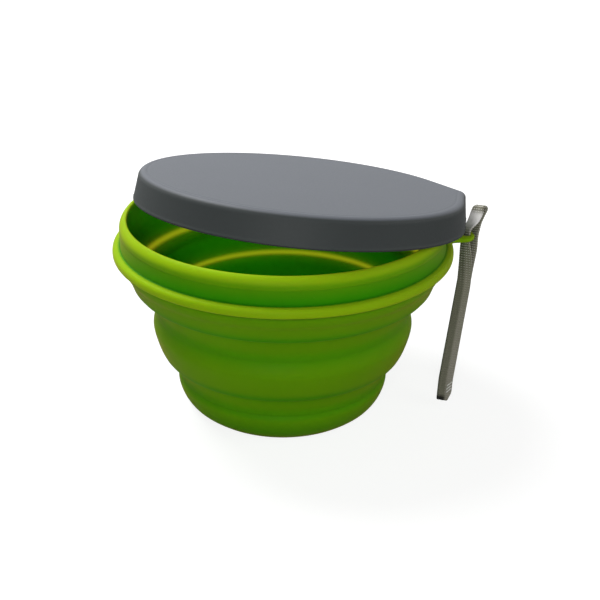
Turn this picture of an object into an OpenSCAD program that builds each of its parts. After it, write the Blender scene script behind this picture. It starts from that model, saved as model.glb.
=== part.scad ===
// Collapsible silicone bowl with a drop-shaped lid and a wrist strap.
// Origin: centre of the standing face. +Z up, the strap tab points along +X.

/* [Bowl wall] */
// Radius of the flat standing face
foot_r = 42; // [38:0.5:46]
// How far the base ring swells past the standing face
base_flare = 7.2; // [6:0.2:8.4]
// Height of the base ring
base_h = 15; // [13:0.5:17]
// Height of the lower fold, standing open
lower_fold_h = 11; // [10:0.5:12]
// Room between the base ring and the middle ring when they nest
lower_nest_gap = 3.6; // [3.2:0.1:4.4]
// How far the middle ring swells past its lower edge
mid_swell = 3.8; // [3:0.2:4.6]
// Height of the middle ring
mid_h = 21; // [19:0.5:23]
// Height of the upper fold, standing open
upper_fold_h = 13; // [12:0.5:14]
// Room between the middle ring and the top band when they nest
upper_nest_gap = 4.9; // [4.2:0.1:5.6]
// Height of the top band, from its lower edge to the flange
band_h = 14; // [12:0.5:16]
// How far the top band flares on its way up to the flange
band_flare = 5.5; // [4.5:0.25:6.5]
// Thickness of the rings
wall = 3; // [2.6:0.1:3.4]
// Thickness of the folding webs
web = 1.3; // [1:0.1:1.6]
// Thickness of the bottom
floor_t = 2.6; // [2:0.2:3.4]

/* [Rim] */
// Height of the collar above the flange
collar_h = 11.8; // [10.5:0.1:13]
// How far the collar leans inward from foot to top
collar_lean = 1; // [0.6:0.1:1.4]
// Thickness of the flange
flange_t = 5; // [4.4:0.2:5.6]
// How far the flange stands out past the collar
flange_w = 2.5; // [2:0.1:3]
// How much slimmer, to each side, the tab's round end is than the flange
tab_slim = 0.2; // [0.15:0.05:0.3]
// Radius of the end of the tab
tab_r = 10; // [9:0.5:11]
// How far the tab reaches past the flange
tab_reach = 12.6; // [12:0.2:14]
// Thickness of the tab inside its rounded edge
tab_t = 2.6; // [2.2:0.1:3]
// Width of the bridge at the end of the tab that holds the strap
bridge_w = 2.4; // [2.2:0.1:2.8]
// Height of the bridge, where the strap rides over it
bridge_h = 3; // [2.4:0.2:3.4]
// Width of the strap slot
slot_w = 3.4; // [3.2:0.1:3.8]
// Room at each end of the slot beside the strap
slot_room = 1.4; // [1.2:0.1:1.6]

/* [Lid] */
// Height of the lid over all
lid_h = 13; // [12.4:0.2:13.8]
// How far the skirt stands inside the edge of the flange
lid_inset = 1.2; // [0.8:0.1:1.2]
// How far the lid's rounded nose reaches past its round skirt
nose_reach = 4; // [3.4:0.2:4]
// Radius of the lid's nose
nose_r = 11; // [10:0.5:14]
// Thickness of the skirt
skirt_t = 1.5; // [1.2:0.1:1.7]
// Thickness of the lid's panel
panel_t = 1.8; // [1.4:0.1:2.2]
// How far the skirt leans inward from its lip to the panel
skirt_draft = 1.6; // [1.2:0.1:1.8]
// Radius of the lid's rounded top edge
lid_round = 3; // [2:0.25:3.5]
// Depth of the locating rib under the panel
rib_h = 2.4; // [1.6:0.2:3]
// Thickness of the locating rib
rib_t = 1.2; // [1:0.1:1.6]
// How far the lid is pushed off the bowl's axis, along and across the tab
lid_push = [7.4, 9.8];
// How far the skirt's lip hangs below the top of the rim, at the lid's axis
lid_drop = 1.5; // [0:0.1:1.5]
// Slope of the resting lid, in degrees
lid_tilt = 9.4; // [9:0.1:9.5]
// Which way the lid slopes down, in degrees round from the tab
lid_low_side = 50; // [49:1:51]

/* [Strap] */
// Width of the webbing
strap_w = 7.2; // [6:0.2:7.4]
// Thickness of the webbing
strap_t = 1.2; // [0.9:0.1:1.3]
// Height of the loop above the middle of the tab
strap_up = 18; // [14:0.5:20]
// Length of the loop below the middle of the tab
strap_down = 78.5; // [60:0.5:78.5]
// How far the strap leans, top outward, in degrees
strap_lean = 11; // [9:0.5:12]
// How far the strap's tail hangs to one side, in degrees
strap_side = 18; // [14:1:19]

/* [Hidden] */
$fn = 96;
overrun = 1;
green = [0.36, 0.58, 0.08];
dark_green = [0.3, 0.52, 0.05];
grey = [0.42, 0.44, 0.47];
web_grey = [0.55, 0.55, 0.5];
thread = [0.72, 0.71, 0.64];

// Radii, each worked out from the ring inside it
base_r = foot_r + base_flare;
base_neck_r = base_r - wall / 4;
fold_clear = 0.5;
mid_lip_r = base_r + fold_clear;
mid_edge_r = base_r + lower_nest_gap + wall;
mid_r = mid_edge_r + mid_swell;
mid_neck_r = mid_r - wall / 2;
band_lip_r = mid_r + fold_clear;
band_edge_r = mid_r + upper_nest_gap + wall;
band_r = band_edge_r + band_flare;
collar_r = band_r + wall / 6;
flange_r = collar_r + flange_w;

// Heights
mid_z = base_h + lower_fold_h;
mid_top_z = mid_z + mid_h;
band_z = mid_top_z + upper_fold_h;
flange_z = band_z + band_h;
foot_z = flange_z + flange_t;
rim_z = foot_z + collar_h;

// Tab and strap slot
tab_tip = flange_r + tab_reach;
tab_d = tab_tip - tab_r;
tab_mid_z = flange_z + flange_t / 2;
bridge_x = tab_tip - bridge_w / 2;
slot_out = tab_tip - bridge_w;
slot_len = strap_w + 2 * slot_room;
saddle_len = slot_len - 0.4 * slot_room;
lip_r = flange_t / 2;
tab_root_r = flange_r - flange_w;
tab_lip_r = lip_r - 2 * tab_slim;
boss_lip_r = lip_r - tab_slim;
boss_path_r = tab_r - boss_lip_r;
parting_w = 0.5;

// Lid outline
lid_r = flange_r - lid_inset;
lid_tip = lid_r + nose_reach;
lid_d = lid_tip - nose_r;
rib_r = collar_r - collar_lean - wall - rib_t;
lid_z = rim_z - lid_drop;
side_in = 0.12;
side_reach = 0.4;

// Strap: half the spacing of its two legs at the bridge, and in the tail
strap_gap = 0.45;
leg_half = bridge_w / 2 + strap_gap;
tail_half = 0.2;
fold_share = 0.05;
taper_share = 0.26;
stitch_h = 0.25;
stitch_w = 0.5;
stitch_len = 7;
stitch_pitch = 1.4;
stitch_margin = 1.1;

// Point at share t between a and b of a smooth line through p, a, b and q
function bend(p, a, b, q, t) =
    0.5 * (2 * a + (b - p) * t + (2 * p - 5 * a + 4 * b - q) * t * t
    + (3 * a - p - 3 * b + q) * t * t * t);

// Smooth line through all the points, n steps between neighbours
function smooth(pts, n = 5) = [
    for (i = [0:len(pts) - 2])
        for (k = [0:n - 1])
            bend(pts[max(i - 1, 0)], pts[i], pts[i + 1],
                 pts[min(i + 2, len(pts) - 1)], k / n),
    pts[len(pts) - 1]
];

// Arc about c from angle a to angle b
function arc(c, r, a, b, n = 8) = [
    for (k = [0:n]) c + r * [cos(a + (b - a) * k / n), sin(a + (b - a) * k / n)]
];

function back(pts) = [for (i = [len(pts) - 1:-1:0]) pts[i]];

// Moves a solid along the outline of a drop: a circle of radius r, the two
// straight sides that touch it, and a nose of radius nose whose centre lies
// at distance d. The children are one flat section, x outward from the outline.
module along_drop(r, nose, d) {
    side = acos((r - nose) / d);
    rotate([0, 0, side]) rotate_extrude(angle = 360 - 2 * side)
        translate([r, 0]) children();
    translate([d, 0, 0]) rotate([0, 0, -side]) rotate_extrude(angle = 2 * side)
        translate([nose, 0]) children();
}

// The two straight sides of the drop alone, run past their ends by reach
module along_sides(r, nose, d, reach) {
    side = acos((r - nose) / d);
    run = sqrt(d * d - (r - nose) * (r - nose));
    for (m = [0, 1]) mirror([0, m, 0])
        translate([r * cos(side), r * sin(side), 0]) rotate([90, 0, side])
            translate([0, 0, -reach]) linear_extrude(height = run + 2 * reach) children();
}

// Flat drop with the same three sizes
module drop(r, nose, d) {
    side = acos((r - nose) / d);
    circle(r);
    translate([d, 0]) circle(nose);
    polygon([[0, 0], r * [cos(side), -sin(side)],
             [d, 0] + nose * [cos(side), -sin(side)],
             [d, 0] + nose * [cos(side), sin(side)], r * [cos(side), sin(side)]]);
}

// Base ring and bottom: stands on the table
module base_cup() {
    heel = wall / 2;
    outer = smooth([[foot_r, 0], [foot_r + base_flare * 0.48, base_h * 0.2],
                    [foot_r + base_flare * 0.82, base_h * 0.47], [base_r, base_h * 0.79],
                    [base_neck_r, base_h]]);
    inner = smooth([[base_neck_r - web, base_h], [base_r - wall, base_h * 0.76],
                    [foot_r + base_flare * 0.82 - wall, base_h * 0.52],
                    [foot_r - heel, floor_t + heel], [foot_r - 2 * wall, floor_t]]);
    color(green) rotate_extrude() polygon(concat([[0, 0]], outer, inner, [[0, floor_t]]));
}

// Thin web of revolution from radius r0 at height z0 out to r1 at z1,
// bowed like a slack S, with level ends
module fold_web(r0, z0, r1, z1) {
    h = z1 - z0;
    sag = (r1 - r0) * 0.18;
    outer = smooth([[r0, z0], [r0 + (r1 - r0) * 0.12 - sag / 2, z0 + h * 0.25],
                    [r0 + (r1 - r0) * 0.34, z0 + h * 0.55],
                    [r0 + (r1 - r0) * 0.72, z0 + h * 0.85], [r1, z1]]);
    rotate_extrude() polygon(concat(outer, back([for (p = outer) p - [web, 0]])));
}

module lower_fold() {
    color(dark_green) fold_web(base_neck_r, base_h, mid_lip_r + web, mid_z);
}

module upper_fold() {
    color(dark_green) fold_web(mid_neck_r, mid_top_z, band_lip_r + web, band_z);
}

// Middle ring: a thick hoop that drops round the base ring
module middle_ring() {
    edge = wall / 4;
    h = mid_h;
    outer = concat(
        arc([mid_edge_r - edge, mid_z + edge], edge, -90, -20, 5),
        smooth([[mid_edge_r + mid_swell * 0.1, mid_z + h * 0.08],
                [mid_edge_r + mid_swell * 0.5, mid_z + h * 0.25],
                [mid_edge_r + mid_swell * 0.95, mid_z + h * 0.55], [mid_r, mid_z + h * 0.72],
                [mid_neck_r + web / 6, mid_z + h * 0.93], [mid_neck_r, mid_top_z]]));
    inner = smooth([[mid_neck_r - web, mid_top_z], [mid_r - wall, mid_z + h * 0.76],
                    [mid_edge_r + mid_swell * 0.9 - wall, mid_z + h * 0.5],
                    [mid_edge_r + mid_swell * 0.3 - wall, mid_z + h * 0.24],
                    [mid_lip_r + wall / 4, mid_z + wall * 0.6], [mid_lip_r, mid_z]]);
    color(green) rotate_extrude() polygon(concat(outer, inner));
}

// Top band, flange with its strap tab, and collar: one thick moulded rim
module rim_band() {
    edge = wall / 4;
    h = band_h;
    top = wall / 2;
    in_r = collar_r - wall;
    groove = flange_t * 0.12;
    outer = concat(
        arc([band_edge_r - edge, band_z + edge], edge, -90, -15, 5),
        smooth([[band_edge_r + band_flare * 0.12, band_z + h * 0.14],
                [band_edge_r + band_flare * 0.45, band_z + h * 0.5],
                [band_edge_r + band_flare * 0.85, band_z + h * 0.85],
                [band_r - groove, flange_z - groove]]),
        [[band_r - groove, flange_z]],
        [for (p = lip_edge(lip_r)) p + [flange_r - lip_r, tab_mid_z]],
        [[collar_r + groove * 0.5, foot_z + groove * 0.4], [collar_r, foot_z + 2 * groove]],
        arc([collar_r - collar_lean - top, rim_z - top], top, 4, 176, 10));
    inner = smooth([[in_r - collar_lean / 4, foot_z], [in_r - collar_lean / 2, flange_z],
                    [band_edge_r + band_flare * 0.4 - wall, band_z + h * 0.5],
                    [band_edge_r - wall, band_z + h * 0.22],
                    [band_lip_r + wall / 3, band_z + wall * 0.55], [band_lip_r, band_z]]);
    color(green) difference() {
        union() {
            rotate_extrude() polygon(concat(outer, inner));
            difference() {
                union() {
                    along_sides(tab_root_r - lip_r, boss_path_r, tab_d, 0)
                        translate([0, tab_mid_z]) lip_section();
                    translate([0, 0, tab_mid_z - tab_t / 2]) linear_extrude(height = tab_t)
                        drop(tab_root_r - lip_r, boss_path_r, tab_d);
                }
                translate([0, 0, flange_z - overrun])
                    cylinder(h = flange_t + 2 * overrun, r = band_r - wall / 2);
            }
            translate([tab_d, 0, tab_mid_z]) rotate_extrude()
                polygon(concat([[0, -boss_lip_r]],
                               [for (p = lip_edge(boss_lip_r)) p + [boss_path_r, 0]],
                               [[boss_path_r, boss_lip_r], [0, boss_lip_r]]));
        }
        strap_slot();
    }
}

// Rounded edge of radius r, with the fine step of the mould's parting line
function lip_edge(r) = concat(arc([0, 0], r, -90, -36, 3),
    [[r + parting_w / 2, -parting_w]], arc([0, 0], r, 0, 76, 5));

// Section of the tab's sides
module lip_section() {
    polygon(concat(lip_edge(tab_lip_r), [[0, tab_lip_r], [-wall / 3, tab_lip_r],
                   [-wall / 3, -tab_lip_r]]));
}

// Slot for the strap, and the saddle that lets it lie low over the bridge
module strap_slot() {
    saddle_h = flange_t / 2 + overrun;
    translate([slot_out - slot_w, -slot_len / 2, flange_z - overrun])
        cube([slot_w, slot_len, flange_t + 2 * overrun]);
    for (side = [0, 1]) translate([0, 0, tab_mid_z]) mirror([0, 0, side])
        translate([slot_out - overrun, -saddle_len / 2, bridge_h / 2])
            cube([bridge_w + 2 * overrun, saddle_len, saddle_h]);
}

// Places lid parts as the lid rests: pushed off the axis and sloping
module lid_at_rest() {
    translate([lid_push[0], lid_push[1], lid_z])
        rotate([0, 0, lid_low_side]) rotate([0, lid_tilt, 0]) rotate([0, 0, -lid_low_side])
            children();
}

// Section of the skirt and the edge of the panel, all of it made slimmer by e
function lid_section(e) = concat(
    [[-skirt_t + e, e], [-e, e], [-skirt_draft * 0.06 - e, lid_h * 0.06]],
    arc([-skirt_draft - lid_round, lid_h - lid_round], lid_round - e, 6, 90, 8),
    [[-skirt_draft - 1.5 * lid_round, lid_h - e],
     [-skirt_draft - 1.5 * lid_round, lid_h - panel_t + e],
     [-skirt_draft - skirt_t + e, lid_h - panel_t + e]]);

// Lid: drop-shaped panel, drafted skirt with a rounded top edge, locating rib
module lid() {
    plate_in = skirt_draft + 1.2 * lid_round;
    color(grey) lid_at_rest() {
        along_drop(lid_r, nose_r, lid_d) polygon(lid_section(0));
        along_sides(lid_r, nose_r, lid_d, side_reach) polygon(lid_section(side_in));
        translate([0, 0, lid_h - panel_t + side_in / 2])
            linear_extrude(height = panel_t - side_in / 2)
                drop(lid_r - plate_in, nose_r - plate_in, lid_d);
        translate([0, 0, lid_h - panel_t - rib_h]) difference() {
            cylinder(h = rib_h + panel_t / 2, r = rib_r);
            translate([0, 0, -overrun])
                cylinder(h = rib_h + panel_t / 2 + 2 * overrun, r = rib_r - rib_t);
        }
    }
}

// Half the spacing of the strap's two legs at share s of the tail's length
function leg_at(s) = s < fold_share ? leg_half
    : s > taper_share ? tail_half
    : leg_half + (tail_half - leg_half)
        * (1 - cos(180 * (s - fold_share) / (taper_share - fold_share))) / 2;

// Outline of the loop, offset outward by e from the inner face of the webbing
function loop_outline(e) = concat(
    arc([0, strap_up - leg_half - strap_t], leg_half + e, 0, 180, 14),
    [for (k = [0:16]) [-leg_at(k / 16) - e, -strap_down * k / 16 + (k == 16 ? leg_half : 0)]],
    arc([0, leg_half - strap_down], tail_half + e, 180, 360, 8),
    [for (k = [16:-1:0]) [leg_at(k / 16) + e, -strap_down * k / 16 + (k == 16 ? leg_half : 0)]]);

// Places strap parts: turned about the bridge, top outward, tail inward and to one side
module strap_at_rest() {
    translate([bridge_x, 0, tab_mid_z]) rotate([-strap_side, strap_lean, 0])
        rotate([90, 0, 0]) children();
}

// Strap: one ribbon, up through the slot, over the bridge and down outside it
module strap_webbing() {
    color(web_grey) strap_at_rest() linear_extrude(height = strap_w, center = true)
        difference() {
            polygon(loop_outline(strap_t));
            polygon(loop_outline(0));
        }
}

// Zigzag stitching that closes the loop near its lower end, on both faces
module strap_stitching() {
    x = tail_half + strap_t;
    low = strap_down - stitch_margin - stitch_len - strap_t;
    rows = floor(stitch_len / stitch_pitch);
    color(thread) strap_at_rest() for (side = [-1, 1])
        for (k = [0:rows - 1])
            translate([side * (x + stitch_h / 2), -low - k * stitch_pitch, 0])
                cube([stitch_h, stitch_w, strap_w - 2 * stitch_margin], center = true);
}

base_cup();
lower_fold();
middle_ring();
upper_fold();
rim_band();
lid();
strap_webbing();
strap_stitching();
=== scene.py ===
import bpy
import math
import numpy as np
from mathutils import Matrix, Vector


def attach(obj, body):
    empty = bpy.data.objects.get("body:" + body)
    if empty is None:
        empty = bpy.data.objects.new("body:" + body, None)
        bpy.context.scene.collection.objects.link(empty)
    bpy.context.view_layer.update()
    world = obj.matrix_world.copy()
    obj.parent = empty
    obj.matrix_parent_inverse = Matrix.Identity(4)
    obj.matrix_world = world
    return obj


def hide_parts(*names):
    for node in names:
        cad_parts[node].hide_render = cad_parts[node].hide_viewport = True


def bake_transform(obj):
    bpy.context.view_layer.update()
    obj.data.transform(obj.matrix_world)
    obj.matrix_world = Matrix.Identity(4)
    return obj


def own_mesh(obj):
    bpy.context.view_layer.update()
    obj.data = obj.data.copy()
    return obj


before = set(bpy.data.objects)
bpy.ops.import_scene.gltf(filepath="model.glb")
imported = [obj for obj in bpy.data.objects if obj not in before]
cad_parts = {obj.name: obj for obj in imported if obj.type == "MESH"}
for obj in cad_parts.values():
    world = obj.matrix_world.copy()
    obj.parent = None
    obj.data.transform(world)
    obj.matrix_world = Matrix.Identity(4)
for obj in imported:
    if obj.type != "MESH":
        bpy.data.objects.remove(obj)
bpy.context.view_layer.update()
mm = 0.001

# Camera at the photograph's place, worked out from its ellipses; turned about the bowl's axis so
# that the tab points along +X
camera = {"lens": 60, "distance": 0.4628, "elevation": 25.15, "turn": -8.25, "roll": 0.9,
          "target": (0.0078, 0.0, 0.04798)}


def placeCamera(c):
    # forward looks from the place to the target; right and up come from cross products, then roll
    e = math.radians(c["elevation"])
    turn = Matrix.Rotation(math.radians(c["turn"]), 3, "Z")
    target = Vector(c["target"])
    place = Vector((0, -c["distance"] * math.cos(e), target.z + c["distance"] * math.sin(e)))
    forward = (turn @ (target - place)).normalized()
    right = forward.cross(Vector((0, 0, 1))).normalized()
    up = right.cross(forward)
    k = math.radians(c["roll"])
    right, up = right * math.cos(k) + up * math.sin(k), up * math.cos(k) - right * math.sin(k)
    data = bpy.data.cameras.new("photoCamera")
    data.lens, data.sensor_width = c["lens"], 36
    data.clip_start, data.clip_end = 0.01, 20
    cam = bpy.data.objects.new("photoCamera", data)
    bpy.context.scene.collection.objects.link(cam)
    m = Matrix((right, up, -forward)).transposed().to_4x4()
    m.translation = turn @ place
    cam.matrix_world = m
    bpy.context.scene.camera = cam


placeCamera(camera)
bpy.context.scene.view_settings.view_transform = "Standard"
print("camera placed")

# The bowl's own sizes in millimetres, the same as the solids'
bowl = {"footR": 42, "baseFlare": 7.2, "baseH": 15, "lowerFoldH": 11, "lowerNestGap": 3.6,
        "midSwell": 3.8, "midH": 21, "upperFoldH": 13, "upperNestGap": 4.9, "bandH": 14,
        "bandFlare": 5.5, "wall": 3, "web": 1.3, "floorT": 2.6,
        "collarH": 11.8, "collarLean": 1, "flangeT": 5, "flangeW": 2.5,
        "tabHalf": 8, "tabCorner": 6.5, "tabHollow": 3, "tabReach": 12.6, "tabT": 2.6,
        "bridgeW": 2.4, "bridgeH": 3, "slotW": 3.4, "ribbonW": 7.2, "slotRoom": 1.4,
        "foldClear": 0.5, "softEdge": 1.7, "columns": 256}

baseR = bowl["footR"] + bowl["baseFlare"]
baseNeckR = baseR - bowl["wall"] / 4
midLipR = baseR + bowl["foldClear"]
midEdgeR = baseR + bowl["lowerNestGap"] + bowl["wall"]
midR = midEdgeR + bowl["midSwell"]
midNeckR = midR - bowl["wall"] / 2
bandLipR = midR + bowl["foldClear"]
bandEdgeR = midR + bowl["upperNestGap"] + bowl["wall"]
bandR = bandEdgeR + bowl["bandFlare"]
collarR = bandR + bowl["wall"] / 6
flangeR = collarR + bowl["flangeW"]
midZ = bowl["baseH"] + bowl["lowerFoldH"]
midTopZ = midZ + bowl["midH"]
bandZ = midTopZ + bowl["upperFoldH"]
flangeZ = bandZ + bowl["bandH"]
footZ = flangeZ + bowl["flangeT"]
rimZ = footZ + bowl["collarH"]
tabTip = flangeR + bowl["tabReach"]
seamZ = rimZ - 5.2
tabMidZ = flangeZ + bowl["flangeT"] / 2
bridgeX = tabTip - bowl["bridgeW"] / 2
slotOut = tabTip - bowl["bridgeW"]


def curveThrough(points, n=6):
    # cubic through neighbours: half of 2a + (b-p)t + (2p-5a+4b-q)t^2 + (3a-p-3b+q)t^3
    a = np.asarray(points, float)
    padded = np.vstack([a[:1], a, a[-1:]])
    p, s, e, q = padded[:-3], padded[1:-2], padded[2:-1], padded[3:]
    t = (np.arange(n) / n)[None, :, None]
    p, s, e, q = (v[:, None, :] for v in (p, s, e, q))
    line = 0.5 * (2 * s + (e - p) * t + (2 * p - 5 * s + 4 * e - q) * t ** 2
                  + (3 * s - p - 3 * e + q) * t ** 3)
    return np.vstack([line.reshape(-1, a.shape[1]), a[-1:]])


def arcAbout(centre, r, a, b, n=8):
    # centre + r (cos, sin) of angles spread evenly from a to b degrees
    t = np.radians(np.linspace(a, b, n + 1))
    return np.asarray(centre, float) + r * np.stack([np.cos(t), np.sin(t)], 1)


def revolve(profile, columns):
    # every profile point (r, z) is carried round the Z axis: (r cos a, r sin a, z)
    a = np.linspace(0, 2 * math.pi, columns, endpoint=False)
    r, z = profile[:, :1], profile[:, 1:]
    return np.stack([r * np.cos(a), r * np.sin(a), np.repeat(z, columns, 1)], 2)


def skinMesh(name, rows, loop=True, body=None, material=None, uv=None, shades=None, sharp=40):
    # rows is (rows, columns, 3) in metres, closed round its columns. With loop the last row joins
    # the first; else both ends are closed by a fan about the end row's mean point.
    # A negative signed volume turns all faces round.
    k, m = rows.shape[:2]
    co = rows.reshape(-1, 3)
    i = np.arange(k if loop else k - 1)[:, None]
    j = np.arange(m)[None, :]
    down, side = (i + 1) % k, (j + 1) % m
    quads = np.stack([i * m + j, i * m + side, down * m + side, down * m + j], 2).reshape(-1, 4)
    faces = quads.tolist()
    if not loop:
        co = np.vstack([co, rows[0].mean(0), rows[-1].mean(0)])
        ring = np.arange(m)
        after = (ring + 1) % m
        faces += np.stack([after, ring, np.full(m, k * m)], 1).tolist()
        last = (k - 1) * m
        faces += np.stack([last + ring, last + after, np.full(m, k * m + 1)], 1).tolist()
    a, b, c, d = (co[quads[:, n]] for n in range(4))
    volume = np.einsum("ij,ij->", a, np.cross(b, c)) + np.einsum("ij,ij->", a, np.cross(c, d))
    if volume < 0:
        faces = [f[::-1] for f in faces]
    mesh = bpy.data.meshes.new(name)
    mesh.from_pydata(co.tolist(), [], faces)
    mesh.polygons.foreach_set("use_smooth", np.ones(len(mesh.polygons), bool))
    mesh.set_sharp_from_angle(angle=math.radians(sharp))
    if uv is not None:
        flat = uv.reshape(-1, 2)
        corner = np.zeros(len(mesh.loops), np.int32)
        mesh.loops.foreach_get("vertex_index", corner)
        layer = mesh.uv_layers.new(name="along")
        layer.data.foreach_set("uv", flat[corner % len(flat)].astype(np.float32).ravel())
    for key, value in (shades or {}).items():
        full = np.zeros(len(co), np.float32)
        full[:value.size] = value.ravel()
        # the centre of each end's fan takes the end row's mean
        full[value.size:] = [value[0].mean(), value[-1].mean()][:len(co) - value.size]
        mesh.attributes.new(key, "FLOAT", "POINT").data.foreach_set("value", full)
    piece = bpy.data.objects.new(name, mesh)
    bpy.context.scene.collection.objects.link(piece)
    if material:
        mesh.materials.append(material)
    if body:
        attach(piece, body)
    return piece


class Nodes:
    # short hand for a material's nodes and links
    def __init__(self, name):
        self.material = bpy.data.materials.new(name)
        self.material.use_nodes = True
        self.tree = self.material.node_tree
        self.shader = self.tree.nodes["Principled BSDF"]

    def add(self, kind, inputs=None, **settings):
        node = self.tree.nodes.new(kind)
        for key, value in settings.items():
            setattr(node, key, value)
        for key, value in (inputs or {}).items():
            self.put(node.inputs[key], value)
        return node

    def attribute(self, name):
        # a share stored at the piece's vertices
        return self.add("ShaderNodeAttribute", attribute_name=name).outputs["Fac"]

    def put(self, socket, value):
        # a link where the value comes from a node, else a constant
        if isinstance(value, bpy.types.NodeSocket):
            self.tree.links.new(value, socket)
        else:
            socket.default_value = value

    def maths(self, operation, a, b=0.0, clamp=False):
        node = self.add("ShaderNodeMath", operation=operation, use_clamp=clamp)
        self.put(node.inputs[0], a)
        self.put(node.inputs[1], b)
        return node.outputs[0]

    def mix(self, share, a, b):
        # a (1 - share) + b share
        node = self.add("ShaderNodeMix", data_type="RGBA")
        self.put(node.inputs[0], share)
        self.put(node.inputs[6], a)
        self.put(node.inputs[7], b)
        return node.outputs[2]

    def noise(self, where, scale, detail=3.0, rough=0.5):
        return self.add("ShaderNodeTexNoise", {"Vector": where, "Scale": scale, "Detail": detail,
                                               "Roughness": rough}).outputs[0]

    def spread(self, value, low, high):
        # low + (high - low) value
        node = self.add("ShaderNodeMapRange", {0: value, 1: 0.0, 2: 1.0, 3: low, 4: high})
        return node.outputs[0]

    def bump(self, height, distance, strength=1.0, below=None):
        # a relief of height times distance in metres, laid over the relief below
        node = self.add("ShaderNodeBump", {"Height": height, "Distance": distance,
                                           "Strength": strength})
        if below is not None:
            self.put(node.inputs["Normal"], below)
        return node.outputs[0]


def siliconeFinish(name, s):
    # soft moulded silicone: a deep colour lit from within, satin gloss, a very fine grain, faint
    # clouds in the colour and a few specks of dust. Attributes tell where: cavity is the inside
    # of the bowl, painted brighter and greener as painted bounce light; crease is painted shade in
    # the folds, over the base and down the collar's wall; edge is a painted highlight on the flange
    # and the lip; dark is darker painted shade in the grooves and a painted shadow along the foot;
    # ring is a painted glow, given off by emission, on the thin bends of the webs.
    # The clouds mix deep and light, then each place's own colour is mixed in by its share
    n = Nodes(name)
    where = n.add("ShaderNodeTexCoord").outputs["Object"]
    tone = n.mix(n.noise(where, s["cloudScale"], 4.0, 0.55), (*s["deep"], 1), (*s["light"], 1))
    # painted bounce light inside, painted shade, painted highlight and darker painted shade, each
    # by its share
    for key in ("cavity", "crease", "edge", "dark"):
        tone = n.mix(n.attribute(key), tone, (*s[key], 1))
    # painted glow: the thin web bends glow by emission
    n.put(n.shader.inputs["Emission Color"], (*s["ring"], 1))
    n.put(n.shader.inputs["Emission Strength"],
          n.maths("MULTIPLY", n.attribute("ring"), s["paintedGlowShare"]))
    specks = n.add("ShaderNodeTexVoronoi",
                   {"Vector": where, "Scale": s["speckScale"]}).outputs["Distance"]
    dust = n.maths("LESS_THAN", specks, s["speckSize"])
    tone = n.mix(n.maths("MULTIPLY", dust, s["dustShare"]), tone, (*s["dust"], 1))
    n.put(n.shader.inputs["Base Color"], tone)
    grain = n.noise(where, s["grainScale"], 2.0)
    swirl = n.noise(where, s["swirlScale"], 3.0)
    n.put(n.shader.inputs["Roughness"],
          n.maths("ADD", n.spread(swirl, s["rough"] - 0.05, s["rough"] + 0.05),
                  n.maths("MULTIPLY", grain, 0.04)))
    n.put(n.shader.inputs["Normal"],
          n.bump(swirl, s["swirlDepth"], 0.35, n.bump(grain, s["grainDepth"], 0.5)))
    n.shader.inputs["Subsurface Weight"].default_value = s["inside"]
    n.shader.inputs["Subsurface Radius"].default_value = s["reach"]
    n.shader.inputs["Subsurface Scale"].default_value = 1.0
    n.shader.inputs["Specular IOR Level"].default_value = s["gloss"]
    n.shader.inputs["IOR"].default_value = s["ior"]
    n.shader.inputs["Sheen Weight"].default_value = s["sheen"]
    n.shader.inputs["Sheen Roughness"].default_value = 0.5
    n.shader.inputs["Sheen Tint"].default_value = (*s["sheenTint"], 1.0)
    return n.material


def mouldedFinish(name, s):
    # matt moulded plastic: spark-eroded grain in two sizes, faint flow clouds, a paler painted
    # highlight along the lip bead, patchy by noise (attribute rub); the skirt (attribute side)
    # takes a darker copy of the colour as painted shade
    n = Nodes(name)
    where = n.add("ShaderNodeTexCoord").outputs["Object"]
    clouds = n.noise(where, s["cloudScale"], 5.0, 0.6)
    tone = n.mix(clouds, (*s["deep"], 1), (*s["light"], 1))
    # painted highlight along the lip bead, patchy by noise
    paler = n.maths("MULTIPLY", n.attribute("paintedLipHighlight"), n.spread(n.noise(where, 260.0), 0.4, 1.0))
    tone = n.mix(n.maths("MULTIPLY", paler, s["paintedLipHighlightShare"]), tone, (*s["paler"], 1))
    # painted shade: the skirt, the underside and the rib take a darker copy of the colour
    tone = n.mix(n.attribute("side"), tone,
                 n.mix(clouds, (*s["paintedSkirtShadeDeep"], 1), (*s["paintedSkirtShadeLight"], 1)))
    n.put(n.shader.inputs["Base Color"], tone)
    fine = n.noise(where, s["fineScale"], 2.0)
    pores = n.noise(where, s["poreScale"], 3.0, 0.6)
    n.put(n.shader.inputs["Roughness"], n.spread(pores, s["rough"] - 0.06, s["rough"] + 0.06))
    n.put(n.shader.inputs["Normal"],
          n.bump(pores, s["poreDepth"], 0.5, n.bump(fine, s["fineDepth"], 0.5)))
    n.shader.inputs["Specular IOR Level"].default_value = s["gloss"]
    return n.material


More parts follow.
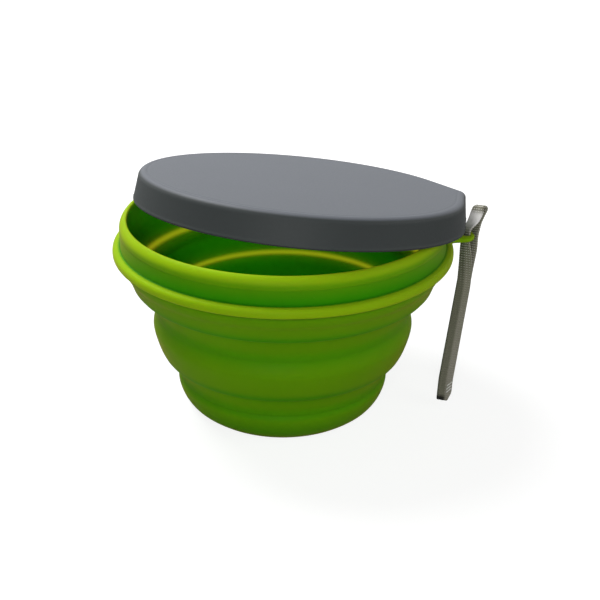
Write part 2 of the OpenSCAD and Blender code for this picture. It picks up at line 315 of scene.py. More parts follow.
def webbingFinish(name, s):
    # woven ribbon: weft ribs across it, rows of warp floats on the rib tops, painted paler up the
    # strap as a painted highlight (attribute shine); one half across is painted pale as painted
    # light and the other dark as painted shade (attribute stripe), and it wears grey lower down,
    # most on the pale half (attribute worn); one face of the inner leg is pulled smooth and painted
    # near white, partly as a painted highlight (attribute satin), and the inside of the lowest bend
    # is painted deep shade (attribute hollow). The weave is 0.45 rib + 0.55 rib yarn, both sines of
    # the place
    n = Nodes(name)
    uv = n.add("ShaderNodeUVMap", uv_map="along").outputs[0]
    parts = n.add("ShaderNodeSeparateXYZ", {0: uv})
    length, across = parts.outputs[0], parts.outputs[1]
    satin, shine = n.attribute("satin"), n.attribute("shine")
    rib = n.maths("SINE", n.maths("MULTIPLY", length, 2 * math.pi / s["ribPitch"]))
    yarn = n.maths("SINE", n.maths("MULTIPLY", across, 2 * math.pi / s["yarnPitch"]))
    weave = n.maths("ADD", n.maths("MULTIPLY", rib, 0.45),
                    n.maths("MULTIPLY", n.maths("MULTIPLY", rib, yarn), 0.55))
    height = n.maths("ADD", n.maths("MULTIPLY", weave, 0.5), 0.5)
    fuzz = n.noise(uv, s["fuzzScale"], 3.0, 0.7)
    # painted light and shade across the ribbon: the half in painted light pale, the other dark
    body = n.mix(n.attribute("paintedLitSide"), (*s["dark"], 1), (*s["pale"], 1))
    body = n.mix(n.maths("MULTIPLY", n.attribute("paler"), s["palerShare"]), body, (*s["grey"], 1))
    relief = n.spread(shine, 0.3, 0.8)
    ribs = n.maths("ADD", n.maths("MULTIPLY", n.maths("SUBTRACT", height, 0.5), relief),
                   n.spread(fuzz, 0.42, 0.72), True)
    tone = n.mix(ribs, (*s["deep"], 1), body)
    # pale floats on the rib tops, painted paler up the strap as a painted highlight
    floats = n.maths("MULTIPLY", n.maths("GREATER_THAN", height, 0.62),
                     n.spread(n.noise(uv, 420.0, 2.0), 0.25, 1.0))
    tone = n.mix(n.maths("MULTIPLY", floats, n.maths("POWER", shine, 2.0)), tone,
                 (*s["float"], 1))
    # the smooth face is painted near white, partly as a painted highlight
    smooth = n.mix(n.spread(n.noise(uv, 900.0, 3.0), 0.3, 0.7),
                   (*s["satin"], 1), (*s["satinDeep"], 1))
    tone = n.mix(satin, tone, smooth)
    # painted deep shade inside the lowest bend
    tone = n.mix(n.attribute("hollow"), tone, (*s["hollow"], 1))
    n.put(n.shader.inputs["Base Color"], tone)
    n.put(n.shader.inputs["Roughness"],
          n.maths("SUBTRACT", n.spread(fuzz, 0.72, 0.9), n.maths("MULTIPLY", satin, 0.35)))
    rough = n.maths("SUBTRACT", 1.0, n.maths("MULTIPLY", satin, 0.85))
    lift = n.maths("ADD", n.maths("MULTIPLY", height, rough), n.maths("MULTIPLY", fuzz, 0.12))
    n.put(n.shader.inputs["Normal"], n.bump(lift, s["weaveDepth"], 0.8))
    n.shader.inputs["Sheen Weight"].default_value = s["sheen"]
    n.shader.inputs["Sheen Roughness"].default_value = 0.4
    n.shader.inputs["Specular IOR Level"].default_value = s["gloss"]
    return n.material


def threadFinish(name, s):
    # twisted thread: slanting plies along it
    n = Nodes(name)
    where = n.add("ShaderNodeTexCoord").outputs["Object"]
    ply = n.add("ShaderNodeTexWave",
                {"Vector": where, "Scale": s["plyScale"], "Distortion": 1.5},
                bands_direction="DIAGONAL").outputs[1]
    n.put(n.shader.inputs["Base Color"], n.mix(ply, (*s["deep"], 1), (*s["light"], 1)))
    n.put(n.shader.inputs["Roughness"], n.spread(ply, 0.55, 0.75))
    n.put(n.shader.inputs["Normal"], n.bump(ply, s["plyDepth"], 0.8))
    n.shader.inputs["Sheen Weight"].default_value = s["sheen"]
    return n.material


# cavity is painted bounce light, crease and dark painted shade, edge a painted highlight, ring a
# painted glow; the clouds and dust are the silicone's own
silicone = {"deep": (0.13, 0.36, 0.002), "light": (0.16, 0.4, 0.003),
            "cavity": (0.065, 0.7, 0.003), "crease": (0.02, 0.33, 0.001),
            "edge": (0.37, 0.6, 0.006), "dark": (0.012, 0.07, 0.001),
            "ring": (1.0, 0.88, 0.02), "paintedGlowShare": 0.27, "dust": (0.3, 0.4, 0.2),
            "dustShare": 0.12, "speckScale": 420.0, "speckSize": 0.07, "cloudScale": 38.0,
            "grainScale": 2600.0, "grainDepth": 0.00004, "swirlScale": 95.0,
            "swirlDepth": 0.00025, "rough": 0.46, "gloss": 0.04, "ior": 1.43, "sheen": 0.2,
            "sheenTint": (1.0, 0.42, 0.12), "inside": 0.35, "reach": (0.0035, 0.006, 0.0006)}
# worn is the painted highlight's colour, paintedSkirtShadeDeep and paintedSkirtShadeLight the
# painted shade on the skirt
lidPlastic = {"deep": (0.122, 0.133, 0.152), "light": (0.132, 0.144, 0.165),
              "paler": (0.16, 0.17, 0.175), "paintedLipHighlightShare": 0.55, "paintedSkirtShadeDeep": (0.029, 0.035, 0.035),
              "paintedSkirtShadeLight": (0.034, 0.041, 0.041), "cloudScale": 22.0, "fineScale": 3200.0,
              "fineDepth": 0.00003, "poreScale": 1100.0, "poreDepth": 0.00007,
              "rough": 0.56, "gloss": 0.3}
# dark and pale colour the halves in painted shade and painted light; float and satin are partly
# painted highlight; hollow is painted shade
ribbon = {"deep": (0.1, 0.098, 0.068), "dark": (0.205, 0.2, 0.14), "pale": (0.4, 0.385, 0.295),
          "grey": (0.56, 0.52, 0.46), "palerShare": 0.55, "float": (0.85, 0.84, 0.78),
          "satin": (0.96, 0.94, 0.92), "satinDeep": (0.9, 0.88, 0.86),
          "hollow": (0.006, 0.006, 0.004), "ribPitch": 0.0011, "yarnPitch": 0.0013,
          "fuzzScale": 5200.0, "weaveDepth": 0.0002, "sheen": 0.15, "gloss": 0.3}
stitch = {"deep": (0.7, 0.69, 0.65), "light": (0.95, 0.94, 0.9), "plyScale": 1400.0,
          "plyDepth": 0.00008, "sheen": 0.3}

siliconeLook = siliconeFinish("siliconeWall", silicone)
webLook = siliconeFinish("siliconeWeb", dict(silicone, rough=0.5))
lidLook = mouldedFinish("lidPlastic", lidPlastic)
ribbonLook = webbingFinish("strapWebbing", ribbon)
threadLook = threadFinish("strapThread", stitch)
print("materials made")


def baseProfile():
    # under the foot, outer side up from the standing face, then the inner side down to the
    # bottom's centre. Each profile also tells how many of its points lie on the outer side.
    b, w = bowl, bowl["wall"]
    outer = curveThrough([[b["footR"], 0], [b["footR"] + b["baseFlare"] * 0.48, b["baseH"] * 0.2],
                          [b["footR"] + b["baseFlare"] * 0.82, b["baseH"] * 0.47],
                          [baseR, b["baseH"] * 0.79], [baseNeckR, b["baseH"]]], 8)
    inner = curveThrough([[baseNeckR - b["web"], b["baseH"]], [baseR - w, b["baseH"] * 0.76],
                          [b["footR"] + b["baseFlare"] * 0.82 - w, b["baseH"] * 0.52],
                          [b["footR"] - w / 2, b["floorT"] + w / 2],
                          [b["footR"] - 2 * w, b["floorT"]]], 8)
    under = np.array([[r, 0.0] for r in (6, 14, 22, 30, 37, 40.5)])
    floor = np.array([[r, b["floorT"]] for r in (32, 24, 16, 8, 3)])
    return np.vstack([under, outer, inner, floor]), len(under) + len(outer)


def foldProfile(r0, z0, r1, z1):
    # slack S from (r0, z0) out to (r1, z1), and the same line a web's thickness further in
    h, sag = z1 - z0, (r1 - r0) * 0.18
    outer = curveThrough([[r0, z0], [r0 + (r1 - r0) * 0.12 - sag / 2, z0 + h * 0.25],
                          [r0 + (r1 - r0) * 0.34, z0 + h * 0.55],
                          [r0 + (r1 - r0) * 0.72, z0 + h * 0.85], [r1, z1]], 8)
    return np.vstack([outer, outer[::-1] - [bowl["web"], 0]]), len(outer)


def middleProfile():
    # round the lower lip and up the swelling outer side to the neck, then down the inner side
    b, w, h = bowl, bowl["wall"], bowl["midH"]
    edge = b["softEdge"]
    outer = np.vstack([
        arcAbout([midEdgeR - edge, midZ + edge], edge, -90, -20, 10),
        curveThrough([[midEdgeR + b["midSwell"] * 0.1, midZ + h * 0.08],
                      [midEdgeR + b["midSwell"] * 0.5, midZ + h * 0.25],
                      [midEdgeR + b["midSwell"] * 0.95, midZ + h * 0.55],
                      [midR, midZ + h * 0.72], [midNeckR + b["web"] / 6, midZ + h * 0.93],
                      [midNeckR, midTopZ]], 8)])
    inner = curveThrough([[midNeckR - b["web"], midTopZ], [midR - w, midZ + h * 0.76],
                          [midEdgeR + b["midSwell"] * 0.9 - w, midZ + h * 0.5],
                          [midEdgeR + b["midSwell"] * 0.3 - w, midZ + h * 0.24],
                          [midLipR + w / 4, midZ + w * 0.6], [midLipR, midZ]], 8)
    return np.vstack([outer, inner]), len(outer)


def spotsAt(r, z, spots):
    # for each spot (r, z, reach, share) its share times exp(-(distance to the spot / reach)^2),
    # and the largest of them all
    best = np.zeros(r.shape)
    for sr, sz, reach, share in spots:
        best = np.maximum(best, share * np.exp(-((r - sr) ** 2 + (z - sz) ** 2) / reach ** 2))
    return best


def ease(t):
    # 3t^2 - 2t^3 of t held between 0 and 1
    t = np.clip(t, 0, 1)
    return t * t * (3 - 2 * t)


# places on the silicone as (radius, height, reach, share): paintedGlowSpots lay a painted glow,
# paintedShadeSpots painted shade and paintedDarkShadeSpots darker painted shade
paintedGlowSpots = [(bandLipR + 5.6, bandZ + 5.4, 1.5, 1.0), (midNeckR - 1.3, midTopZ + 1.6, 1.4, 0.9),
             (bandLipR + 5.6, bandZ + 5.4, 3.4, 0.12), (midNeckR - 1.3, midTopZ + 1.6, 3.2, 0.12)]
paintedShadeSpots = [(bandEdgeR - 0.3, bandZ + 1.2, 2.4, 0.8), (midNeckR, midTopZ + 0.5, 3.2, 0.45),
               (midEdgeR - 0.3, midZ + 1.6, 2.4, 0.8), (baseNeckR, bowl["baseH"] + 0.2, 2.8, 0.45),
               (midLipR + 0.5, midZ - 1, 2.6, 0.6), (bandLipR + 0.5, bandZ - 1, 2.6, 0.6),
               (bowl["footR"] + 4, 4, 7.0, 0.6)]
# darker painted shade in the groove under the flange and at the collar's foot, and a painted shadow
# along the standing foot
paintedDarkShadeSpots = [(bandR - 0.7, flangeZ + 0.1, 1.0, 0.75), (collarR - 0.9, footZ + 0.1, 0.5, 0.3),
             (bowl["footR"], 0.2, 0.9, 0.85)]


def siliconeShades(rows, innerFrom):
    # rows from innerFrom on are the inside of the wall, which takes the painted bounce light. The
    # flange and the lip take a painted highlight, each eased in over a short way; the collar's wall
    # takes painted shade, deeper evenly from its seam down to its foot; the spots lay painted
    # shade, darker painted shade and a painted glow.
    r, z = np.hypot(rows[..., 0], rows[..., 1]) / mm, rows[..., 2] / mm
    inner = np.zeros(r.shape)
    inner[innerFrom:] = 1.0
    # painted highlight on the flange's top and along the lip
    flange = ease((z - flangeZ - 0.9) / 0.5) * ease((r - collarR + 0.7) / 1.1) * (z < footZ + 0.3)
    lip = np.where(inner > 0, ease((z - rimZ + 1.3) / 0.8),
                   0.18 * ease((z - seamZ + 0.2) / 0.5) + 0.67 * ease((z - rimZ + 4.2) / 2.6))
    # painted shade down the collar's wall, strongest at its foot
    paintedShadeTowardsFoot = 1 - 0.68 * np.clip((z - footZ) / (seamZ - footZ), 0, 1)
    wall = (z > footZ - 0.2) * (r < collarR + 0.3) * paintedShadeTowardsFoot
    # the flange's painted highlight fades out over the tab
    flange = flange * (0.75 - 0.35 * ease((r - flangeR) / 2))
    return {"cavity": inner, "edge": np.maximum(flange, lip),
            "crease": np.maximum(spotsAt(r, z, paintedShadeSpots), wall) * (1 - inner),
            "dark": spotsAt(r, z, paintedDarkShadeSpots) * (1 - inner),
            "ring": spotsAt(r, z, paintedGlowSpots) * inner}


def revolvedPiece(name, sides, loop, body, material, node):
    # a profile carried round the axis, in place of one solid
    profile, innerFrom = sides
    rows = revolve(profile, bowl["columns"]) * mm
    piece = skinMesh(name, rows, loop, body, material, shades=siliconeShades(rows, innerFrom))
    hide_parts(node)
    return piece


def dropPath(r, nose, d, columns):
    # points and outward normals of a drop: a circle of radius r, its two tangents, and a nose of
    # radius nose at distance d. Samples follow the arc length, closer on the nose.
    side = math.acos((r - nose) / d)
    run = math.sqrt(d * d - (r - nose) ** 2)
    nNose, nRun = columns // 8, columns // 10
    a = np.linspace(-side, side, nNose, endpoint=False)
    tip = np.stack([d + nose * np.cos(a), nose * np.sin(a)], 1)
    tipN = np.stack([np.cos(a), np.sin(a)], 1)
    s = np.linspace(0, run, nRun, endpoint=False)[:, None]
    flank = np.array([math.cos(side), math.sin(side)])
    way = np.array([-math.sin(side), math.cos(side)])
    start = np.array([d, 0.0]) + nose * flank
    upRun = start + s * way
    a2 = np.linspace(side, 2 * math.pi - side, columns - nNose - 2 * nRun, endpoint=False)
    ring = np.stack([r * np.cos(a2), r * np.sin(a2)], 1)
    ringN = ring / r
    mirrorFlank = flank * [1, -1]
    start2 = r * mirrorFlank
    downRun = start2 + s * np.array([math.sin(side), math.cos(side)])
    points = np.vstack([tip, upRun, ring, downRun])
    normals = np.vstack([tipN, np.repeat(flank[None], nRun, 0), ringN,
                         np.repeat(mirrorFlank[None], nRun, 0)])
    return points, normals


def flangePath(inset, columns):
    # points and outward normals of the flange's outline moved in by inset. One half runs from the
    # tab's straight tip over its round corner and straight side, a hollow corner and the circle to
    # the far side, and is then mirrored.
    b = bowl
    cx, cy = tabTip - b["tabCorner"], b["tabHalf"] - b["tabCorner"]
    fy = b["tabHalf"] + b["tabHollow"]
    fx = math.sqrt((flangeR + b["tabHollow"]) ** 2 - fy ** 2)
    turn = math.atan2(fy, fx)

    def part(x, y, nx, ny):
        # places and normals side by side, single numbers repeated to the same length
        return np.stack([v + 0 * (x + y) for v in (x, y, nx, ny)], 1)

    a = np.linspace(0, math.pi / 2, 12, endpoint=False)
    h = np.linspace(-math.pi / 2, turn - math.pi, 16, endpoint=False)
    c = np.linspace(turn, math.pi, columns)
    k, hollow = b["tabCorner"] - inset, b["tabHollow"] + inset
    half = np.vstack([
        part(tabTip - inset, np.linspace(0, cy, 3, endpoint=False), 1.0, 0.0),
        part(cx + k * np.cos(a), cy + k * np.sin(a), np.cos(a), np.sin(a)),
        part(np.linspace(cx, fx, 6, endpoint=False), b["tabHalf"] - inset, 0.0, 1.0),
        part(fx + hollow * np.cos(h), fy + hollow * np.sin(h), -np.cos(h), -np.sin(h)),
        part((flangeR - inset) * np.cos(c), (flangeR - inset) * np.sin(c), np.cos(c), np.sin(c))])
    whole = np.vstack([half, half[-2:0:-1] * [1, -1, 1, -1]])
    return whole[:, :2], whole[:, 2:]


def rimRows():
    # each column follows the flange's outline: the band, collar and inside lie on circles at the
    # column's polar angle, the lip lies on the outline, and a thin plate fills the tab between them
    b, w, h = bowl, bowl["wall"], bowl["bandH"]
    lip, edge, groove = b["flangeT"] / 2, b["softEdge"], b["flangeT"] * 0.12
    base, normal = flangePath(lip, 216)
    angle = np.arctan2(base[:, 1], base[:, 0])
    radial = np.stack([np.cos(angle), np.sin(angle)], 1)
    share = ease((np.hypot(base[:, 0], base[:, 1]) - (flangeR - lip)) / 2.5)
    inR = collarR - w

    def onCircle(profile):
        # points (r, z) at every column's polar angle
        p = np.asarray(profile, float)
        return np.concatenate([p[:, :1, None] * radial[None],
                               np.repeat(p[:, 1:, None], len(base), 1)], 2)

    def onLip(offsets):
        # points (out, up) from the flange's middle line, along its outward normal
        p = np.asarray(offsets, float)
        return np.concatenate([base[None] + p[:, :1, None] * normal[None],
                               np.repeat(p[:, 1:, None] + tabMidZ, len(base), 1)], 2)

    def mixed(ring, tab):
        # ring (1 - share) + tab share, where share grows from the ring out over the tab
        return ring * (1 - share[None, :, None]) + tab * share[None, :, None]

    band = onCircle(np.vstack([
        arcAbout([bandEdgeR - edge, bandZ + edge], edge, -90, -15, 10),
        curveThrough([[bandEdgeR + b["bandFlare"] * 0.12, bandZ + h * 0.14],
                      [bandEdgeR + b["bandFlare"] * 0.45, bandZ + h * 0.5],
                      [bandEdgeR + b["bandFlare"] * 0.66 + 0.3, bandZ + h * 0.68],
                      [bandEdgeR + b["bandFlare"] * 0.85, bandZ + h * 0.85],
                      [bandR - groove - 0.4, flangeZ - groove]], 8)]))
    half, low = b["tabT"] / 2, -lip * 0.68
    under = np.concatenate([
        mixed(onCircle([[bandR - groove - 0.7, flangeZ + 0.1]]),
              onCircle([[bandR - groove, tabMidZ - half]])),
        mixed(onLip([[-0.7, low + 0.02]]), onLip([[-1.6, -half]])),
        mixed(onLip([[-0.3, low + 0.01]]), onLip([[-0.7, -half - 0.02]]))])
    # squared round: lip |cos a|^p out and low or lip times |sin a|^q up
    a = np.radians(np.linspace(-90, 76, 26))
    rise = np.where(a < 0, low * np.abs(np.sin(a)) ** 0.6, lip * np.abs(np.sin(a)) ** 0.85)
    edgeRows = onLip(np.stack([lip * np.abs(np.cos(a)) ** 0.72, rise], 1))
    # round the tab the bead thins out to the plate's own thickness
    thin = np.where(edgeRows[..., 2] > tabMidZ, half / lip, half / -low)
    edgeRows[..., 2] = tabMidZ + (edgeRows[..., 2] - tabMidZ) * (1 - share * (1 - thin))
    over = np.concatenate([
        mixed(onLip([[0.45, lip - 0.03]]), onLip([[-0.7, half]])),
        mixed(onLip([[0.3, lip]]), onLip([[-1.6, half]])),
        mixed(onCircle([[collarR - 0.72, footZ + 0.02]]),
              onCircle([[collarR - 0.72, tabMidZ + half]])),
        mixed(onCircle([[collarR - 0.97, footZ + 0.2]]),
              onCircle([[collarR - 0.97, tabMidZ + half + 0.2]]))])
    lean = b["collarLean"]
    collar = onCircle(np.vstack([
        [[collarR - 1.05, footZ + 1.2], [collarR - 1.08, footZ + 4], [collarR - 1.12, seamZ - 0.4],
         [collarR - 1.12, seamZ - 0.12], [collarR - 0.98, seamZ + 0.12]],
        curveThrough([[collarR - 0.95, seamZ + 0.5], [collarR - 1.0, seamZ + 1.8],
                      [collarR - 1.35, seamZ + 3.1], [collarR - 2.0, seamZ + 4.2],
                      [collarR - 2.9, seamZ + 4.95], [collarR - 3.7, rimZ],
                      [collarR - 4.25, rimZ - 0.3], [collarR - 4.45, rimZ - 0.95]], 4)]))
    inside = onCircle(curveThrough([
        [inR - lean * 1.1, rimZ - 3.4], [inR - lean / 4, footZ], [inR - lean / 2, flangeZ],
        [bandEdgeR + b["bandFlare"] * 0.4 - w, bandZ + h * 0.5],
        [bandEdgeR - w, bandZ + h * 0.22],
        [bandLipR + w / 3, bandZ + w * 0.55], [bandLipR, bandZ]], 8))
    outer = np.concatenate([band, under, edgeRows, over, collar])
    return np.concatenate([outer, inside]) * mm, len(outer) - 4


def cutBoxes(piece, boxes):
    # takes rectangular rooms out of a piece, each given by its two corners in millimetres
    for low, high in boxes:
        low, high = np.array(low) * mm, np.array(high) * mm
        corner = np.array([[x, y, z] for x in (0, 1) for y in (0, 1) for z in (0, 1)], float)
        mesh = bpy.data.meshes.new("room")
        mesh.from_pydata((low + corner * (high - low)).tolist(), [],
                         [(0, 1, 3, 2), (4, 6, 7, 5), (0, 4, 5, 1), (2, 3, 7, 6),
                          (0, 2, 6, 4), (1, 5, 7, 3)])
        room = bpy.data.objects.new("room", mesh)
        bpy.context.scene.collection.objects.link(room)
        cut = piece.modifiers.new("cut", "BOOLEAN")
        cut.operation, cut.solver, cut.object = "DIFFERENCE", "EXACT", room
        bpy.context.view_layer.update()
        done = bpy.data.meshes.new_from_object(
            piece.evaluated_get(bpy.context.evaluated_depsgraph_get()))
        piece.modifiers.remove(cut)
        piece.data = done
        bpy.data.objects.remove(room)


revolvedPiece("baseRing", baseProfile(), False, "base", siliconeLook, "base_cup")
lowerWeb = revolvedPiece("lowerFoldWeb", foldProfile(baseNeckR, bowl["baseH"],
                                                     midLipR + bowl["web"], midZ),
                         True, None, webLook, "lower_fold")
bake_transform(lowerWeb)
revolvedPiece("middleRing", middleProfile(), True, "middle", siliconeLook, "middle_ring")
upperWeb = revolvedPiece("upperFoldWeb", foldProfile(midNeckR, midTopZ,
                                                     bandLipR + bowl["web"], bandZ),
                         True, None, webLook, "upper_fold")
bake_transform(upperWeb)

rows, insideFrom = rimRows()
rim = skinMesh("rimBand", rows, True, None, siliconeLook, shades=siliconeShades(rows, insideFrom))
slotLen = bowl["ribbonW"] + 2 * bowl["slotRoom"]
saddle = slotLen - 0.4 * bowl["slotRoom"]
bridgeTop, bridgeLow = tabMidZ + bowl["bridgeH"] / 2, tabMidZ - bowl["bridgeH"] / 2
cutBoxes(rim, [
    ([slotOut - bowl["slotW"], -slotLen / 2, flangeZ - 1], [slotOut, slotLen / 2, footZ + 1]),
    ([slotOut - 1, -saddle / 2, bridgeTop], [tabTip + 1, saddle / 2, footZ + 1]),
    ([slotOut - 1, -saddle / 2, flangeZ - 1], [tabTip + 1, saddle / 2, bridgeLow])])
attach(rim, "rim")
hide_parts("rim_band")
print("bowl made")


lidShape = {"height": 13, "inset": 1.2, "noseReach": 4, "noseR": 7.5, "skirtT": 1.5,
            "panelT": 1.8, "draft": 1.6, "round": 3, "ribH": 2.4, "ribT": 1.2, "ribRound": 0.3,
            "push": (8.55, 8.1), "z": 89.25, "tilt": 9.39, "lowSide": 50.7, "columns": 320}


def lidPlacement():
    # the lid lies pushed off the axis and slopes down towards lowSide
    s = lidShape
    turn = Matrix.Rotation(math.radians(s["lowSide"]), 4, "Z")
    tip = Matrix.Rotation(math.radians(s["tilt"]), 4, "Y")
    back = Matrix.Rotation(math.radians(-s["lowSide"]), 4, "Z")
    return Matrix.Translation(Vector((*s["push"], s["z"])) * mm) @ turn @ tip @ back


def placed(rows, matrix):
    # every point times the matrix's turn, plus its shift
    m = np.array(matrix)
    return rows @ m[:3, :3].T + m[:3, 3]


def lidRows():
    # the skirt and top edge follow curves parallel to the drop's outline; from the edge inwards
    # the panel's rows shrink evenly towards one centre
    s = lidShape
    lidR = flangeR - s["inset"]
    d = lidR + s["noseReach"] - s["noseR"]
    base, normal = dropPath(lidR, s["noseR"], d, s["columns"])
    centre = np.array([d * 0.12, 0.0])

    def follow(profile):
        # points (out, up) from the drop's outline, along its outward normal
        p = np.asarray(profile, float)
        return np.concatenate([base[None] + p[:, :1, None] * normal[None],
                               np.repeat(p[:, 1:, None], len(base), 1)], 2)

    def shrink(inset, z, shares):
        # centre + (outline moved by inset - centre) share, for each share
        edge = base + inset * normal
        k = np.asarray(shares)[:, None, None]
        flat = centre + (edge[None] - centre) * k
        return np.concatenate([flat, np.full(flat.shape[:2] + (1,), z)], 2)

    lean, r, h = s["draft"], s["round"], s["height"]
    topIn = -lean - r
    skirt = follow(np.vstack([
        [[-s["skirtT"] + 0.25, 0], [-s["skirtT"] + 0.45, -0.0], [-0.35, 0], [-0.1, 0.12], [0, 0.4],
         [0.0, 0.95], [-0.14, 1.15], [-0.3, 1.9]],
        [[-0.3 - (lean - 0.3) * t, 1.9 + (h - r - 1.9) * t] for t in (0.3, 0.6, 0.9)],
        arcAbout([topIn, h - r], r, 4, 88, 14),
        [[topIn - 0.7, h], [topIn - 0.95, h - 0.09], [topIn - 1.2, h - 0.09],
         [topIn - 1.5, h - 0.01]]]))
    top = shrink(topIn - 2.2, h, [1, 0.97, 0.9, 0.8, 0.65, 0.5, 0.35, 0.2, 0.08, 0.01])
    low = h - s["panelT"]
    under = shrink(topIn - 2.2, low, [0.01, 0.08, 0.2, 0.35, 0.5, 0.65, 0.8, 0.9, 0.97, 1])
    inner = follow([[-lean - s["skirtT"] - 1.6, low], [-lean - s["skirtT"] - 0.5, low - 0.15],
                    [-lean - s["skirtT"] - 0.05, low - 0.7], [-lean * 0.6 - s["skirtT"], low * 0.6],
                    [-lean * 0.2 - s["skirtT"], low * 0.2], [-s["skirtT"], 0.35]])
    rows = np.concatenate([skirt, top])
    # the lip bead's rows take the painted highlight
    palerShare = np.zeros(rows.shape[:2])
    palerShare[3:6] = 0.5
    # side: painted shade over the skirt, fading out just below the top
    side = np.clip((h - 0.35 - rows[..., 2]) / 0.9, 0, 1)
    lower = np.concatenate([under, inner])
    return rows, lower, palerShare, side


topRows, lowRows, palerShare, side = lidRows()
allRows = np.concatenate([lowRows, topRows])
# the underside and the inside take the painted shade in full and no painted highlight
lowerZeros = np.zeros(lowRows.shape[:2])
shades = {"paintedLipHighlight": np.concatenate([lowerZeros, palerShare]), "side": np.concatenate([lowerZeros + 1, side])}
# one sheet from the centre of the panel's underside out to the lip, up over the skirt and back to
# the centre of its top, each centre closed by a fan
lid = skinMesh("lid", placed(allRows * mm, lidPlacement()), False, "lid", lidLook,
               shades=shades, sharp=50)
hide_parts("lid")

ribR = collarR - bowl["collarLean"] - bowl["wall"] - lidShape["ribT"]
lowZ = lidShape["height"] - lidShape["panelT"]
ribRound = lidShape["ribRound"]
ribLow = lowZ - lidShape["ribH"] + 0.3
ribProfile = np.vstack([[[ribR, lowZ + 0.3]], [[ribR, ribLow]],
                        arcAbout([ribR - ribRound, ribLow], ribRound, 0, -90, 4),
                        arcAbout([ribR - 3 * ribRound, ribLow], ribRound, -90, -180, 4),
                        [[ribR - lidShape["ribT"], lowZ + 0.3]]])
ribRows = placed(revolve(ribProfile, bowl["columns"]) * mm, lidPlacement())
# the rib takes the painted shade in full
rib = skinMesh("lidLocatingRib", ribRows, True, "lid", lidLook,
               shades={"side": np.ones(ribRows.shape[:2])})
print("lid made")


# twist and sway are read at heights over the tab; neckHeights tell where the room for the bridge
# ends and where the neck begins and ends
strap = {"width": 6.4, "thick": 1.05, "up": 14.0, "down": 79.2, "lean": 11, "side": 18,
         "gap": 0.45, "tailHalf": 0.25, "foldShare": 0.05, "taperShare": 0.26, "neck": 0.45,
         "neckHeights": (2.3, 6, 8.5), "eye": 0.95, "crease": 0.5, "creaseFrom": 6,
         "creaseRun": 14, "edgeRound": 0.3, "cutH": -0.8,
         "heights": (-80, -69, -24, -9, -2, 2, 6, 10, 12, 14),
         "twist": (80, 80, 76, 34, 8, 8, 30, 44, 34, 12),
         "sway": (0.0, -0.6, 0.6, 0.3, 0.0, 0.0, 1.1, 2.1, 2.7, 3.2)}
zigzag = {"strokes": 3, "from": -2.6, "to": -0.7, "start": 69.4, "pitch": 1.5, "fall": 2.4,
          "depth": 0.75, "thread": 0.28}


def strapLine():
    # middle line of the ribbon: a small eye, a neck, the room for the tab's bridge, a leg that
    # narrows to the tail, the lower bend, and the same back up
    s = strap
    legHalf = bowl["bridgeW"] / 2 + s["gap"]
    t = s["thick"] / 2

    def leg(share):
        # half the room between the legs, eased by a cosine from legHalf to tailHalf
        k = np.clip((share - s["foldShare"]) / (s["taperShare"] - s["foldShare"]), 0, 1)
        return legHalf + (s["tailHalf"] - legHalf) * (1 - np.cos(math.pi * k)) / 2

    shoulder = s["up"] - s["eye"] - s["thick"]
    arch = arcAbout([0, shoulder], s["eye"] + t, 0, 180, 20)
    k = np.linspace(0, 1, 90)
    rise = np.linspace(shoulder, 0, 30)[1:-1]
    foot = np.concatenate([rise, -s["down"] * k[:-1], [legHalf - s["down"]]])
    half = leg(np.clip(-foot / s["down"], 0, 1))
    half[:len(rise)] = np.interp(rise, [0, *s["neckHeights"], shoulder],
                                 [legHalf, legHalf, s["neck"], s["neck"], s["eye"]])
    half = np.convolve(np.pad(half, 2, "edge"), [0.1, 0.2, 0.4, 0.2, 0.1], "valid") + t
    down = np.stack([-half, foot], 1)
    bend = arcAbout([0, legHalf - s["down"]], s["tailHalf"] + t, 180, 360, 12)
    return np.vstack([arch, down[:-1], bend, down[:-1][::-1] * [-1, 1]])


def hang(u, v, h):
    # u is the distance from the strap's middle plane, v the place across the ribbon, h the height
    # over the tab. The ribbon's middle is pushed forward by the crease, the pair of legs is turned
    # about its middle line by the twist at that height, swayed, and then tilted as a whole.
    s = strap
    fine = np.linspace(s["heights"][0], s["heights"][-1], 400)
    kernel = np.hanning(25) / np.hanning(25).sum()
    turned, swayed = (np.convolve(np.pad(np.interp(fine, s["heights"], s[key]), 12, "edge"),
                                  kernel, "valid") for key in ("twist", "sway"))
    twist = np.radians(np.interp(h, fine, turned))
    tail = np.clip((-h - s["creaseFrom"]) / s["creaseRun"], 0, 1)
    u = u - s["crease"] * (1 - np.abs(v) / (s["width"] / 2)) * tail
    x = u * np.cos(twist) - v * np.sin(twist) + np.interp(h, fine, swayed)
    y = u * np.sin(twist) + v * np.cos(twist)
    a, b = math.radians(s["side"]), math.radians(s["lean"])
    y, z = y * math.cos(a) + h * math.sin(a), h * math.cos(a) - y * math.sin(a)
    x, z = x * math.cos(b) + z * math.sin(b), z * math.cos(b) - x * math.sin(b)
    return np.stack([x + bridgeX, y, z + tabMidZ], -1) * mm


